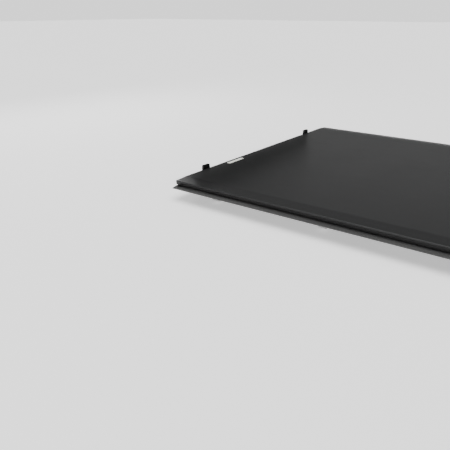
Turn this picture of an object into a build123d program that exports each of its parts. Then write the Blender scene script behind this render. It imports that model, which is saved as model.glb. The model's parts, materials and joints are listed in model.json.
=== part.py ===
"""Soft roll-up tonneau cover for the bed of a mid-size double-cab pickup.

A vinyl sheet is stretched over two side rails, a front rail and three cross bows. It is freed at the
tailgate and rolls up on top of itself towards the cab, where two buckled straps hold the roll.

Frame: +X is the right-hand side of the truck, +Y points at the cab, +Z is up. The origin is the middle of
the front rail's underside, where it rests on the bed. Lengths are millimetres.

The sheet can't bend here, so it is cut across into strips that hinge on each other. Each strip is one side
of a hexagonal spiral: the strips grow by the same amount from the tailgate to the cab, so that the turns of
the closed roll lie parallel and a roll pitch apart.
"""

from build123d import *
import math
import os

# ---- overall sizes ----
HALF_EDGE = 771.0  # outside of the vinyl's side hems
HALF_TOP = 700.0  # where the flat top ends and slopes down over the side rails
HALF_FLANGE = 806.0  # outside of the side rails' flanges
TOP_Z = 37.5  # upper face of the vinyl
VINYL = 1.2
HEM = 3.0  # vinyl with the loop tape sewn behind it
HEM_Z = TOP_Z - 13.5  # lower edge of the side hems
EASE = 0.3  # between the vinyl and what it lies on

# ---- rails ----
WALL = 2.5
SEAL = 2.5  # thickness of the foam under the rails
SEAL_INNER = 740.0
SEAL_OUTER = 798.0
TAPE = 1.6  # thickness of the hook tape
RAIL_TOP = TOP_Z - VINYL - EASE
RAIL_OUT = 766.0  # outer face of the side rails' lips, under the hems
RAIL_DROP = 5.0  # how far a side rail's top slopes down on its way out
LIP_Z = TOP_Z - 15.0  # underside of the lip
RAIL_WALL_X = 754.0  # outer wall, set back below the lip
RAIL_LEG = 28.5  # how far the inner legs hang below the rails' base
LEDGE = 16.0  # width of the inner ledge that the bows stand on
LEDGE_Z = 14.5
LEDGE_LOW = 3.0
FLANGE = 3.0
FRONT_DEPTH = 34.0  # of the front rail
FRONT_ROUND = 9.0  # radius of its upper front corner
SLOPE = RAIL_DROP / (RAIL_OUT - HALF_TOP)

# ---- the sheet's strips ----
FRONT_FACE = FRONT_DEPTH / 2 + EASE + VINYL  # outside of the vinyl at the cab end
FIXED_PANEL = 190.0
STRIPS = 15
SHORTEST = 46.0  # the strip on the rear bar
GROWTH = 6.0  # from each strip to the next one towards the cab
HINGE_GAP = 1.2
HINGE_Z = TOP_Z - VINYL / 2
HINGE_TURN = 60.0  # degrees at each hinge when the cover is rolled up

# ---- bows, rear bar and latches ----
BOW_STRIPS = (2, 5, 9)  # strips counted from the cab
BOW_DEPTH = 28.0
BOW_HEIGHT = 20.0
BOW_HALF = 676.0
TUBE_WALL = 2.0
BAR_DEPTH = 40.0
BAR_HEIGHT = 20.0
SHOE_DEPTH = 24.0
LEVER_REACH = 78.0
LEVER_THICK = 5.0
HUB_RADIUS = 8.0
CAM_NOSE = 16.0  # reach of the lever's nose from its pin
PIN_RADIUS = 3.0
RUNNING = 0.08  # radial clearance of a turning fit

# ---- clamps ----
CLAMP_YS = (-190.0, -745.0, -1300.0)
CLAMP_WIDTH = 36.0
CLAMP_X = 685.0  # axis of the clamp screws
JAW_TOP = -34.0
JAW_HEIGHT = 11.0
SCREW_RADIUS = 4.0
SCREW_TOP = 6.0

# ---- storage straps ----
STRAP_X = 525.0
WEBBING_WIDTH = 38.0
WEBBING = 1.5
SOCKET = (54.0, 13.0, 29.0)  # width, thickness and height of the buckle's socket
SOCKET_Z = 16.0
STRAP_BACK = FRONT_FACE + EASE
BUCKLE_Y = STRAP_BACK + 1.5 + SOCKET[1] / 2
TAIL_DROP = 105.0
FASTENER_RADIUS = 2.5
SCREW_HOLE = FASTENER_RADIUS + 0.15
BRACKET_SCREWS = (18.0, 34.0)  # from the corner, along both arms of its bracket
ANCHOR_SCREWS = (-14.0, 14.0)  # either side of a strap's middle
BRACKET_THICK = 3.0

SIDES = (("left", -1), ("right", 1))


def strip_length(index):
    """Length of a strip, counted from 1 at the cab to STRIPS at the rear bar."""
    return SHORTEST + GROWTH * (STRIPS - index)


def hinge_y(index):
    """Y of the hinge at the cab end of a strip. Index STRIPS + 1 is the sheet's rear edge."""
    return FRONT_FACE - FIXED_PANEL - sum(strip_length(i) for i in range(1, index))


REAR_FACE = hinge_y(STRIPS + 1)
RAIL_FRONT = -FRONT_DEPTH / 2
RAIL_REAR = REAR_FACE + 4.5
BAR_Y = REAR_FACE + 2.0 + BAR_DEPTH / 2


def block(x, y, z):
    """A box given by its low and high limits along each axis."""
    size = [high - low for low, high in (x, y, z)]
    centre = [(high + low) / 2 for low, high in (x, y, z)]
    return Pos(*centre) * Box(*size)


def along_y(points, front, rear, rounding=0.0):
    """An outline in X and Z, swept from Y front back to Y rear."""
    face = Polygon(*points, align=None)
    if rounding:
        face = fillet(face.vertices(), rounding)
    return extrude(Plane.XZ.offset(-front) * face, amount=front - rear, dir=(0, -1, 0))


def along_x(points, low, high, rounding=0.0):
    """An outline in Y and Z, swept from X low to X high."""
    face = Polygon(*points, align=None)
    if rounding:
        face = fillet(face.vertices(), rounding)
    return extrude(Plane.YZ.offset(low) * face, amount=high - low, dir=(1, 0, 0))


def mirrored(shape, side):
    """A right-hand piece as it is, or its mirror image for the left."""
    return shape if side > 0 else mirror(shape, about=Plane.YZ)


def pair(shape):
    """The right-hand piece and its mirror image, as one node of two solids."""
    return Compound(children=[*mirrored(shape, -1).solids(), *shape.solids()])


def post(x, y, low, high, radius):
    """An upright round bar."""
    return Pos(x, y, (low + high) / 2) * Cylinder(radius, high - low)


def cross_hole(y, z):
    """What a screw's hole takes from the side rail's leg and from what is screwed to it, along X."""
    return Pos(HALF_TOP, y, z) * Rot(0, 90, 0) * Cylinder(SCREW_HOLE, 20)


def peg(x, front, rear, z, radius):
    """A round bar along Y."""
    return Pos(x, (front + rear) / 2, z) * Rot(90, 0, 0) * Cylinder(radius, front - rear)


# ---- side rails and what is fixed to them ----
def rail_top(x):
    """Height of a side rail's sloping top."""
    return RAIL_TOP - SLOPE * (x - HALF_TOP)


def rail_outline():
    """Outside of a side rail above the bed: sloping top, lip, set-back wall and flange."""
    return [
        (HALF_TOP, RAIL_TOP),
        (RAIL_OUT, rail_top(RAIL_OUT)),
        (RAIL_OUT, LIP_Z),
        (RAIL_WALL_X, LIP_Z),
        (RAIL_WALL_X, SEAL + FLANGE),
        (HALF_FLANGE, SEAL + FLANGE),
        (HALF_FLANGE, SEAL),
    ]


def rail_hollow(inset):
    """Inside of a side rail, set in from its outside."""
    return [
        (HALF_TOP + inset, rail_top(HALF_TOP + inset) - inset),
        (RAIL_OUT - inset, rail_top(RAIL_OUT - inset) - inset),
        (RAIL_OUT - inset, LIP_Z + inset),
        (RAIL_WALL_X - inset, LIP_Z + inset),
        (RAIL_WALL_X - inset, SEAL + inset),
        (HALF_TOP + inset, SEAL + inset),
    ]


def side_rail():
    """Hollow extrusion with an outer flange and a leg inside the bed, drilled for its screws."""
    shell = rail_outline() + [
        (HALF_TOP + WALL, SEAL),
        (HALF_TOP + WALL, SEAL - RAIL_LEG),
        (HALF_TOP, SEAL - RAIL_LEG),
    ]
    rail = along_y(shell, RAIL_FRONT, RAIL_REAR, 0.8)
    rail -= along_y(rail_hollow(WALL), RAIL_FRONT + 1, RAIL_REAR - 1, 1.0)
    for y, z in bracket_holes() + [(y, STRIKER_SCREW_Z) for y in striker_holes()]:
        rail -= cross_hole(y, z)
    return rail


def bow_ledge():
    """Angle on the side rail's inner wall, which the bows stand on. It ends before the striker block."""
    along = (RAIL_REAR + STRIKER_LENGTH + 2.5, RAIL_FRONT - 2)
    shelf = block((HALF_TOP - LEDGE, HALF_TOP), along, (LEDGE_Z - WALL, LEDGE_Z))
    return shelf + block((HALF_TOP - WALL, HALF_TOP), along, (LEDGE_LOW, LEDGE_Z - WALL))


def rail_seal():
    """Foam strip under a side rail."""
    return block((SEAL_INNER, SEAL_OUTER), (RAIL_REAR, RAIL_FRONT), (0, SEAL))


def hook_tape():
    """Hook tape on the outer wall of a side rail, which holds the sheet's hem."""
    along = (RAIL_REAR + 2, RAIL_FRONT - 3)
    return block((RAIL_OUT, RAIL_OUT + TAPE), along, (LIP_Z + 1, rail_top(RAIL_OUT) - 1))


def rail_end_cap():
    """Moulded plug that closes a side rail at the tailgate."""
    plate = along_y(rail_outline() + [(HALF_TOP, SEAL)], RAIL_REAR, RAIL_REAR - 2.0, 0.8)
    return plate + along_y(rail_hollow(WALL + 0.3), RAIL_REAR + 22, RAIL_REAR, 0.8)


# ---- front rail ----
KEDER_Z = 16.0
KEDER_RADIUS = 2.6
KEDER_Y = FRONT_DEPTH / 2 - WALL - 1.0
RIB_Z = 13.5


def front_outline():
    """Outside of the front rail: rounded at the upper front, with a rib below the keder groove."""
    front = FRONT_DEPTH / 2
    outline = Polygon(
        (-front, RAIL_TOP),
        (front, RAIL_TOP),
        (front, RIB_Z),
        (STRAP_BACK, RIB_Z),
        (STRAP_BACK, SEAL),
        (-front, SEAL),
        align=None,
    )
    corner = outline.vertices().sort_by_distance((front, RAIL_TOP))[0]
    return fillet(corner, FRONT_ROUND)


def front_rail():
    """Hollow box extrusion across the cab end, with a keder groove in its face and a leg behind."""
    front = FRONT_DEPTH / 2
    rail = extrude(
        Plane.YZ.offset(-HALF_TOP) * front_outline(), amount=2 * HALF_TOP, dir=(1, 0, 0)
    )
    hollow = [
        (-front + WALL, RAIL_TOP - WALL),
        (front - WALL - 6, RAIL_TOP - WALL),
        (front - WALL, RAIL_TOP - WALL - 6),
        (front - WALL, KEDER_Z + 6),
        (front - WALL - 6, KEDER_Z + 6),
        (front - WALL - 6, SEAL + WALL),
        (-front + WALL, SEAL + WALL),
    ]
    rail -= along_x(hollow, -HALF_TOP - 1, HALF_TOP + 1, 1.0)
    length = 2 * HALF_TOP + 2
    rail -= Pos(0, KEDER_Y, KEDER_Z) * Rot(0, 90, 0) * Cylinder(KEDER_RADIUS, length)
    rail -= block(
        (-length / 2, length / 2), (KEDER_Y, front + 1), (KEDER_Z - 1.1, KEDER_Z + 1.1)
    )
    rail += block((-HALF_TOP + 4, HALF_TOP - 4), (-front, -front + WALL), (SEAL - RAIL_LEG, SEAL))
    for side in (-1, 1):
        for x in BRACKET_SCREWS:
            rail -= peg(side * (HALF_TOP - x), 0, -2 * front, BRACKET_Z, SCREW_HOLE)
        for x in ANCHOR_SCREWS:
            rail -= peg(side * STRAP_X + x, 2 * front, front - 6, ANCHOR_Z, SCREW_HOLE)
    return rail


def front_rail_seal():
    """Foam strip under the front rail."""
    return block((-RAIL_OUT + 2, RAIL_OUT - 2), (-12, 12), (0, SEAL))


def front_corner():
    """Moulded corner between the front rail and a side rail, which carries the flange to a point."""
    front = FRONT_DEPTH / 2
    body = along_y(rail_outline()[:5] + [(HALF_TOP, SEAL + FLANGE)], front, RAIL_FRONT)
    body &= extrude(
        Plane.YZ.offset(HALF_TOP) * front_outline(), amount=RAIL_OUT - HALF_TOP, dir=(1, 0, 0)
    )
    foot = Polygon(
        (HALF_TOP, RAIL_FRONT),
        (HALF_FLANGE, RAIL_FRONT),
        (HALF_FLANGE, front - 12),
        (RAIL_WALL_X + 12, front),
        (HALF_TOP, front),
        align=None,
    )
    body += extrude(Pos(0, 0, SEAL) * foot, amount=FLANGE, dir=(0, 0, 1))
    tongue = block(
        (HALF_TOP - 20, HALF_TOP),
        (RAIL_FRONT + WALL + 0.3, front - WALL - 6.3),
        (SEAL + WALL + 0.3, RAIL_TOP - WALL - 0.3),
    )
    return body + tongue + along_y(rail_hollow(WALL + 0.3), RAIL_FRONT, RAIL_FRONT - 22, 0.8)


BRACKET_Z = -14.0


def bracket_holes():
    """Y and Z of the corner bracket's two screws in the side rail's leg."""
    return [(RAIL_FRONT - along, BRACKET_Z) for along in BRACKET_SCREWS]


def corner_bracket():
    """Steel angle inside the corner, screwed to the legs of the side rail and the front rail."""
    thick = BRACKET_THICK
    arm = 44.0
    side_arm = block((HALF_TOP - thick, HALF_TOP), (RAIL_FRONT - arm, RAIL_FRONT), (-24, -4))
    front_arm = block((HALF_TOP - arm, HALF_TOP), (RAIL_FRONT - thick, RAIL_FRONT), (-24, -4))
    bracket = side_arm + front_arm
    for y, z in bracket_holes():
        bracket -= cross_hole(y, z)
    for x in BRACKET_SCREWS:
        bracket -= peg(HALF_TOP - x, 0, -2 * FRONT_DEPTH, BRACKET_Z, SCREW_HOLE)
    return bracket


def screw(grip):
    """Button-head screw along +Z: its head's underside is at Z 0 and its shank reaches down by grip."""
    head = Pos(0, 0, 1.4) * Cylinder(4.6, 2.8)
    head = fillet(head.edges().group_by(Axis.Z)[-1], 1.6)
    socket = extrude(Pos(0, 0, 1.4) * RegularPolygon(1.7, 6), amount=4)
    return Pos(0, 0, -grip / 2) * Cylinder(FASTENER_RADIUS, grip) + (head - socket)


def cap_screws():
    """The button-head screws of the corner brackets, the strap anchors and the striker blocks."""
    thick = BRACKET_THICK
    right = []
    for y, z in bracket_holes():
        right.append(Pos(HALF_TOP - thick, y, z) * Rot(0, -90, 0) * screw(8))
    for x in BRACKET_SCREWS:
        right.append(Pos(HALF_TOP - x, RAIL_FRONT - thick, BRACKET_Z) * Rot(90, 0, 0) * screw(8))
    for x in ANCHOR_SCREWS:
        seat = STRAP_BACK + WEBBING + ANCHOR_THICK
        right.append(Pos(STRAP_X + x, seat, ANCHOR_Z) * Rot(-90, 0, 0) * screw(8))
    for y in striker_holes():
        right.append(Pos(HALF_TOP - 4, y, STRIKER_SCREW_Z) * Rot(0, -90, 0) * screw(8))
    solids = [s for shape in right for side in (-1, 1) for s in mirrored(shape, side).solids()]
    return Compound(children=solids)


# ---- the sheet ----
def sheet_section(front, rear):
    """A stretch of the sheet: its flat top, the slopes over the side rails and the hems below them."""
    edge = HALF_EDGE - HEM
    fall = SLOPE * (edge - HALF_TOP)
    slope = [
        (HALF_TOP, TOP_Z),
        (edge, TOP_Z - fall),
        (edge, TOP_Z - fall - VINYL),
        (HALF_TOP, TOP_Z - VINYL),
    ]
    hem = [(edge, TOP_Z - fall), (HALF_EDGE, TOP_Z - fall - 1.6), (HALF_EDGE, HEM_Z), (edge, HEM_Z)]
    solids = [block((-HALF_TOP, HALF_TOP), (rear, front), (TOP_Z - VINYL, TOP_Z))]
    for outline in (slope, hem):
        strip = along_y(outline, front, rear)
        solids += [mirrored(strip, side).solids()[0] for side in (-1, 1)]
    return solids


def cover_strip(index):
    """One strip of the sheet, between two hinge lines."""
    front = hinge_y(index) - HINGE_GAP / 2
    rear = hinge_y(index + 1) + HINGE_GAP / 2
    return Compound(children=sheet_section(front, rear))


def front_cover_panel():
    """The stretch of the sheet that stays on the front rail, wrapped round it into the keder groove."""
    rear = hinge_y(1) + HINGE_GAP / 2
    low = KEDER_Z - VINYL / 2
    outer = sheet_shell(0, FRONT_FACE, rear, low)
    inner = sheet_shell(VINYL, FRONT_FACE - VINYL, rear - 1, low - 1)
    panel = outer - inner
    for side in (-1, 1):
        below = block((HALF_EDGE - HEM - 1, HALF_EDGE + 1), (rear - 1, FRONT_FACE - 8), (0, HEM_Z))
        panel -= mirrored(below, side)
    length = 2 * HALF_TOP - 4
    panel += block((-length / 2, length / 2), (KEDER_Y, FRONT_FACE - 0.5), (low, low + VINYL))
    return panel + Pos(0, KEDER_Y, KEDER_Z) * Rot(0, 90, 0) * Cylinder(2.1, length)


def sheet_shell(inset, front, rear, low):
    """Solid under the sheet's upper face near the cab, or under its lower face with an inset."""
    edge = HALF_EDGE - (HEM if inset else 0)
    top = TOP_Z - inset
    outline = [
        (HALF_TOP, top),
        (HALF_EDGE - HEM, top - SLOPE * (HALF_EDGE - HEM - HALF_TOP)),
        (edge, top - SLOPE * (HALF_EDGE - HEM - HALF_TOP) - (0 if inset else 1.6)),
        (edge, low),
    ]
    if inset:
        outline.pop(1)
    across = along_y(outline + [(-x, z) for x, z in reversed(outline)], front, rear)
    profile = Polygon((rear, top), (front, top), (front, low), (rear, low), align=None)
    corner = profile.vertices().sort_by_distance((front, top))[0]
    profile = fillet(corner, FRONT_ROUND + EASE + VINYL - inset)
    return across & extrude(Plane.YZ.offset(-HALF_EDGE) * profile, amount=2 * HALF_EDGE, dir=(1, 0, 0))


def rear_cover_strip():
    """The last strip, which turns down behind the rear bar."""
    solids = sheet_section(hinge_y(STRIPS) - HINGE_GAP / 2, REAR_FACE)
    apron = block(
        (-HALF_TOP, HALF_TOP), (REAR_FACE, REAR_FACE + VINYL), (BAR_LOW, TOP_Z - VINYL)
    )
    return Compound(children=[*solids, apron])


LABEL_LEFT = -391.0
LABEL_SETBACK = 46.0


def blank_label():
    """Plain printed label on the sheet, behind the front rail."""
    rear = FRONT_FACE - LABEL_SETBACK
    return block((LABEL_LEFT, LABEL_LEFT + 130), (rear, rear + 21), (TOP_Z, TOP_Z + 0.3))


# ---- bows ----
def bow_centre(strip):
    return (hinge_y(strip) + hinge_y(strip + 1)) / 2


def bow(strip):
    """Rectangular aluminium tube across the bed, under one strip of the sheet."""
    y = bow_centre(strip)
    half = BOW_DEPTH / 2
    top = RAIL_TOP
    outer = block((-BOW_HALF, BOW_HALF), (y - half, y + half), (top - BOW_HEIGHT, top))
    outer = fillet(outer.edges().filter_by(Axis.X), 3.0)
    inner = block(
        (-BOW_HALF - 1, BOW_HALF + 1),
        (y - half + TUBE_WALL, y + half - TUBE_WALL),
        (top - BOW_HEIGHT + TUBE_WALL, top - TUBE_WALL),
    )
    return outer - inner


def bow_end_plug(strip):
    """Moulded foot in the end of a bow, which stands on the side rail's ledge."""
    y = bow_centre(strip)
    half = BOW_DEPTH / 2
    inside = TUBE_WALL + 0.2
    top = RAIL_TOP
    tongue = block(
        (BOW_HALF - 30, BOW_HALF),
        (y - half + inside, y + half - inside),
        (top - BOW_HEIGHT + inside, top - inside),
    )
    foot = block((BOW_HALF, HALF_TOP - 2), (y - half, y + half), (LEDGE_Z + EASE, top))
    foot = fillet(foot.edges().filter_by(Axis.Z).sort_by(Axis.X)[-2:], 3.0)
    return tongue + foot


# ---- rear bar, its shoes and its cam levers ----
STRIKER_LENGTH = 44.0
STRIKER_SCREW_Z = -6.0
PIVOT_X = 689.0
BAR_HALF = 676.0
BAR_LOW = RAIL_TOP - BAR_HEIGHT
SHOE_LOW = BAR_LOW - 0.5
LEVER_TOP = SHOE_LOW - EASE


def rear_bar():
    """Hollow extrusion in the sheet's rear edge."""
    half = BAR_DEPTH / 2
    outer = block((-BAR_HALF, BAR_HALF), (BAR_Y - half, BAR_Y + half), (BAR_LOW, RAIL_TOP))
    outer = fillet(outer.edges().filter_by(Axis.X), 2.5)
    inner = block(
        (-BAR_HALF - 1, BAR_HALF + 1),
        (BAR_Y - half + TUBE_WALL, BAR_Y + half - TUBE_WALL),
        (BAR_LOW + TUBE_WALL, RAIL_TOP - TUBE_WALL),
    )
    return outer - inner


def rear_bar_shoe():
    """Moulded end plug of the rear bar. Its nose sits in the striker block and carries the lever's pin."""
    half = BAR_DEPTH / 2
    inside = TUBE_WALL + 0.2
    tongue = block(
        (BAR_HALF - 40, BAR_HALF),
        (BAR_Y - half + inside, BAR_Y + half - inside),
        (BAR_LOW + inside, RAIL_TOP - inside),
    )
    nose = block(
        (BAR_HALF, HALF_TOP - 2),
        (BAR_Y - SHOE_DEPTH / 2, BAR_Y + SHOE_DEPTH / 2),
        (SHOE_LOW, RAIL_TOP),
    )
    shoe = tongue + nose
    return shoe - post(PIVOT_X, BAR_Y, SHOE_LOW - 1, SHOE_LOW + 14, PIN_RADIUS)


def lever_pin():
    """Steel pin on which a cam lever turns."""
    shank = post(PIVOT_X, BAR_Y, LEVER_TOP - LEVER_THICK - 0.4, SHOE_LOW + 14, PIN_RADIUS)
    head = post(PIVOT_X, BAR_Y, LEVER_TOP - LEVER_THICK - 1.4, LEVER_TOP - LEVER_THICK - 0.4, 5.0)
    return shank + head


def cam_lever():
    """Flat lever that lies along the rear bar when it is locked, with its nose under the striker's lip."""
    low = LEVER_TOP - LEVER_THICK
    hub = post(PIVOT_X, BAR_Y, low, LEVER_TOP, HUB_RADIUS)
    nose = block((PIVOT_X - 7, PIVOT_X + 7), (BAR_Y, BAR_Y + CAM_NOSE), (low, LEVER_TOP))
    nose = fillet(nose.edges().filter_by(Axis.Z).group_by(Axis.Y)[-1], 5.0)
    arm = block((PIVOT_X - LEVER_REACH, PIVOT_X), (BAR_Y - 5, BAR_Y + 5), (low, LEVER_TOP))
    arm = fillet(arm.edges().filter_by(Axis.Z).group_by(Axis.X)[0], 4.0)
    grip = block(
        (PIVOT_X - LEVER_REACH + 6, PIVOT_X - LEVER_REACH + 38), (BAR_Y - 7, BAR_Y + 7), (low, LEVER_TOP)
    )
    grip = fillet(grip.edges().filter_by(Axis.Z), 5.0)
    return hub + nose + arm + grip - post(PIVOT_X, BAR_Y, low - 1, LEVER_TOP + 1, PIN_RADIUS + RUNNING)


def striker_holes():
    """Y of the two screws that hold a striker block to the side rail's leg."""
    return (BAR_Y + 14.0, BAR_Y - 14.0)


def striker_block():
    """Block on the side rail's leg. The shoe drops behind its post, whose lip holds the lever down."""
    inner = HALF_TOP - 14
    web = block((HALF_TOP - 4, HALF_TOP), (BAR_Y - 19, BAR_Y + STRIKER_LENGTH / 2), (-14, 6))
    shelf = block((inner, HALF_TOP), (BAR_Y - 12, BAR_Y + STRIKER_LENGTH / 2), (3, 6))
    upright = block(
        (inner, HALF_TOP - 0.3), (BAR_Y + CAM_NOSE + 1.5, BAR_Y + STRIKER_LENGTH / 2), (3, 22)
    )
    lip = block(
        (inner, HALF_TOP - 0.3),
        (BAR_Y + SHOE_DEPTH / 2 + 1.0, BAR_Y + CAM_NOSE + 2),
        (LEVER_TOP + 1.0, 22),
    )
    body = web + shelf + upright + lip
    for y in striker_holes():
        body -= cross_hole(y, STRIKER_SCREW_Z)
    return body


def tailgate_seal():
    """Rubber strip under the rear bar, which meets the tailgate."""
    low = BAR_LOW - 6.0
    half = BAR_DEPTH / 2
    strip = block((-590, 590), (BAR_Y - half + 2, BAR_Y - half + 12), (low, BAR_LOW))
    return fillet(strip.edges().filter_by(Axis.X).group_by(Axis.Z)[0], 3.0)


# ---- clamps ----
def clamp_bracket(y):
    """Bracket that hangs behind the side rail's leg, with a threaded boss for the clamp screw."""
    half = CLAMP_WIDTH / 2
    plate = block((HALF_TOP - 5, HALF_TOP), (y - half, y + half), (-25, -2))
    shelf = block((HALF_TOP - 26, HALF_TOP - 5), (y - half, y + half), (-13, -2))
    shelf = fillet(shelf.edges().filter_by(Axis.Z).sort_by(Axis.X)[:2], 5.0)
    hole = post(CLAMP_X, y, -30, 5, SCREW_RADIUS + RUNNING)
    return plate + shelf - hole


def clamp_jaw(y):
    """Jaw that the screw draws up under the lip of the bed rail."""
    half = CLAMP_WIDTH / 2 - 3
    low = JAW_TOP - JAW_HEIGHT
    outline = [
        (CLAMP_X - 11, low),
        (CLAMP_X - 11, JAW_TOP),
        (HALF_TOP + 9, JAW_TOP),
        (HALF_TOP + 12, JAW_TOP + 4),
        (HALF_TOP + 28, JAW_TOP + 4),
        (HALF_TOP + 28, JAW_TOP - 3),
        (HALF_TOP + 14, low),
    ]
    jaw = along_y(outline, y + half, y - half, 1.0)
    return jaw - post(CLAMP_X, y, low - 5, JAW_TOP + 5, SCREW_RADIUS + RUNNING)


def clamp_screw(y):
    """Hexagon-head screw through the jaw into the bracket."""
    low = JAW_TOP - JAW_HEIGHT
    shank = post(CLAMP_X, y, low - 2.4, SCREW_TOP, SCREW_RADIUS)
    washer = post(CLAMP_X, y, low - 2.2, low - 0.2, 8.0)
    head = extrude(Pos(CLAMP_X, y, low - 8.2) * RegularPolygon(7.5, 6), amount=6.0)
    return shank + washer + head


# ---- storage straps ----
ANCHOR_Z = 8.6
ANCHOR_HALF = 5.5  # half the anchor plate's height
ANCHOR_THICK = 2.0
PLUG_BASE_Z = SOCKET_Z + SOCKET[2] + 0.4
PLUG_BASE = 7.0


def anchor_plate():
    """Plate that screws a strap's end to the front rail."""
    back = STRAP_BACK + WEBBING
    low = ANCHOR_Z - ANCHOR_HALF
    plate = block((STRAP_X - 23, STRAP_X + 23), (back, back + ANCHOR_THICK), (low, ANCHOR_Z + ANCHOR_HALF))
    plate = fillet(plate.edges().filter_by(Axis.Y), 3.0)
    for x in ANCHOR_SCREWS:
        plate -= peg(STRAP_X + x, back + 5, back - 5, ANCHOR_Z, SCREW_HOLE)
    return plate


def lower_webbing():
    """Short webbing from the anchor plate up to the buckle's socket."""
    half = WEBBING_WIDTH / 2
    strap = block(
        (STRAP_X - half, STRAP_X + half),
        (STRAP_BACK, STRAP_BACK + WEBBING),
        (ANCHOR_Z - ANCHOR_HALF, SOCKET_Z + 9),
    )
    for x in ANCHOR_SCREWS:
        strap -= peg(STRAP_X + x, STRAP_BACK + 9, STRAP_BACK - 9, ANCHOR_Z, SCREW_HOLE)
    return strap


def buckle_socket():
    """Socket of a side-release buckle, open at the top and at both sides."""
    width, thick, height = SOCKET
    body = block(
        (STRAP_X - width / 2, STRAP_X + width / 2),
        (BUCKLE_Y - thick / 2, BUCKLE_Y + thick / 2),
        (SOCKET_Z, SOCKET_Z + height),
    )
    body = fillet(body.edges().filter_by(Axis.Z), 3.0)
    cavity = block(
        (STRAP_X - width / 2 + 5, STRAP_X + width / 2 - 5),
        (BUCKLE_Y - thick / 2 + 2, BUCKLE_Y + thick / 2 - 2),
        (SOCKET_Z + 9, SOCKET_Z + height + 1),
    )
    windows = block(
        (STRAP_X - width / 2 - 1, STRAP_X + width / 2 + 1),
        (BUCKLE_Y - thick / 2 + 2, BUCKLE_Y + thick / 2 - 2),
        (SOCKET_Z + 9, SOCKET_Z + height - 7),
    )
    slot = block(
        (STRAP_X - WEBBING_WIDTH / 2 - 1, STRAP_X + WEBBING_WIDTH / 2 + 1),
        (BUCKLE_Y - thick / 2 - 1, BUCKLE_Y + thick / 2 - 5),
        (SOCKET_Z + 3, SOCKET_Z + 6),
    )
    return body - cavity - windows - slot


def buckle_plug():
    """Plug of a side-release buckle: a base with a guide tongue and two springy prongs."""
    width, thick, height = SOCKET
    base = block(
        (STRAP_X - width / 2 + 2, STRAP_X + width / 2 - 2),
        (BUCKLE_Y - thick / 2 + 1, BUCKLE_Y + thick / 2 - 1),
        (PLUG_BASE_Z, PLUG_BASE_Z + PLUG_BASE),
    )
    base = fillet(base.edges().filter_by(Axis.Y), 2.0)
    tongue = block(
        (STRAP_X - 3, STRAP_X + 3), (BUCKLE_Y - 2, BUCKLE_Y + 2), (SOCKET_Z + 11, PLUG_BASE_Z + 1)
    )
    plug = base + tongue
    for side in (-1, 1):
        outer = width / 2 - 6.5
        prong = [
            (STRAP_X + side * (outer - 6), PLUG_BASE_Z + 1),
            (STRAP_X + side * outer, PLUG_BASE_Z + 1),
            (STRAP_X + side * outer, SOCKET_Z + 14),
            (STRAP_X + side * (outer - 4), SOCKET_Z + 10.5),
            (STRAP_X + side * (outer - 5), SOCKET_Z + 16),
        ]
        plug += along_y(prong, BUCKLE_Y + 3, BUCKLE_Y - 3)
    return plug


def strap_tail():
    """Webbing through the plug's base, folded over its top and hanging free in front of the buckle."""
    half = WEBBING_WIDTH / 2
    out = BUCKLE_Y + SOCKET[1] / 2 + 1.0
    top = PLUG_BASE_Z + PLUG_BASE + EASE
    fold = block((STRAP_X - half, STRAP_X + half), (BUCKLE_Y - 3, out + WEBBING), (top, top + WEBBING))
    hang = block((STRAP_X - half, STRAP_X + half), (out, out + WEBBING), (top - TAIL_DROP, top))
    return fold + hang


def nodes():
    """Every node of the cover by name."""
    made = {
        "front_rail": front_rail(),
        "front_corners": pair(front_corner()),
        "corner_brackets": pair(corner_bracket()),
        "cap_screws": cap_screws(),
        "rail_seals": Compound(children=[front_rail_seal(), *pair(rail_seal()).solids()]),
        "bow_ledges": pair(bow_ledge()),
        "hook_tapes": pair(hook_tape()),
        "rail_end_caps": pair(rail_end_cap()),
        "striker_blocks": pair(striker_block()),
        "clamp_brackets": Compound(
            children=[
                s for y in CLAMP_YS for side in (-1, 1) for s in mirrored(clamp_bracket(y), side).solids()
            ]
        ),
        "strap_anchor_plates": pair(anchor_plate()),
        "strap_lower_webbings": pair(lower_webbing()),
        "buckle_sockets": pair(buckle_socket()),
        "front_cover_panel": front_cover_panel(),
        "blank_label": blank_label(),
        "rear_cover_strip": rear_cover_strip(),
        "rear_bar": rear_bar(),
        "rear_bar_shoes": pair(rear_bar_shoe()),
        "lever_pins": pair(lever_pin()),
        "tailgate_seal": tailgate_seal(),
    }
    for index in range(1, STRIPS):
        made[f"cover_strip_{index:02d}"] = cover_strip(index)
    for number, strip in enumerate(BOW_STRIPS, 1):
        made[f"bow_{number}"] = bow(strip)
        made[f"bow_{number}_end_plugs"] = pair(bow_end_plug(strip))
    for name, side in SIDES:
        made[f"{name}_side_rail"] = mirrored(side_rail(), side)
        made[f"{name}_cam_lever"] = mirrored(cam_lever(), side)
        made[f"{name}_buckle_plug"] = mirrored(buckle_plug(), side)
        made[f"{name}_strap_tail"] = mirrored(strap_tail(), side)
        for number, y in enumerate(CLAMP_YS, 1):
            made[f"{name}_clamp_jaw_{number}"] = mirrored(clamp_jaw(y), side)
            made[f"{name}_clamp_screw_{number}"] = mirrored(clamp_screw(y), side)
    return made


def main():
    os.makedirs("parts", exist_ok=True)
    for name, shape in nodes().items():
        export_step(shape, f"parts/{name}.step")


if __name__ == "__main__":
    main()
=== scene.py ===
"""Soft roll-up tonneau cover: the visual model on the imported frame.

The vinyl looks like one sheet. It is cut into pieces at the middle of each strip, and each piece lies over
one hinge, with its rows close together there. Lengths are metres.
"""

import json
import math

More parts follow.
